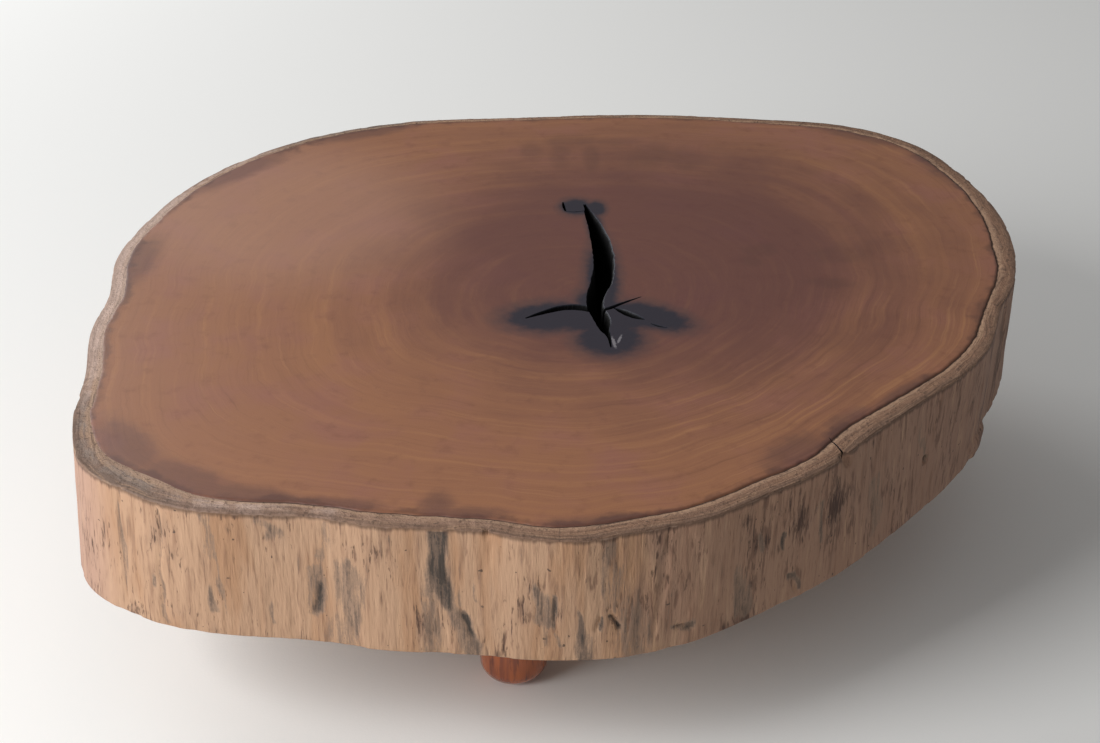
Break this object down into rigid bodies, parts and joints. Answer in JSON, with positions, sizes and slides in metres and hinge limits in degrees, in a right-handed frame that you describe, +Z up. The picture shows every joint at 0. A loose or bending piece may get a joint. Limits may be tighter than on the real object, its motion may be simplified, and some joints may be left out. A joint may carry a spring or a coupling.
{
  "type": "wood slice coffee table",
  "caption": "Low coffee table: one thick live-edge tree trunk slice with a black heart crack, varnished on top, standing on short turned wooden feet.",
  "frame": {"origin": "on the floor, under the middle of the table's plan outline", "axes": "+X to the right along the slab's longest side, +Y away from the front, +Z up"},
  "size_m": [1.0006, 0.9502, 0.2938],
  "materials": {
    "slab_wood": "satin varnished end grain on top, bare debarked sapwood round the edge",
    "foot_wood": "gloss varnished red-brown hardwood",
    "bolt_steel": "zinc plated",
    "insert_brass": "plain turned brass"
  },
  "bodies": {
    "root": {"slab": "slab_wood", "foot_front": "foot_wood", "foot_right": "foot_wood", "foot_left": "foot_wood", "hanger_bolt_front": "bolt_steel", "hanger_bolt_right": "bolt_steel", "hanger_bolt_left": "bolt_steel", "threaded_insert_front": "insert_brass", "threaded_insert_right": "insert_brass", "threaded_insert_left": "insert_brass"}
  },
  "joints": []
}
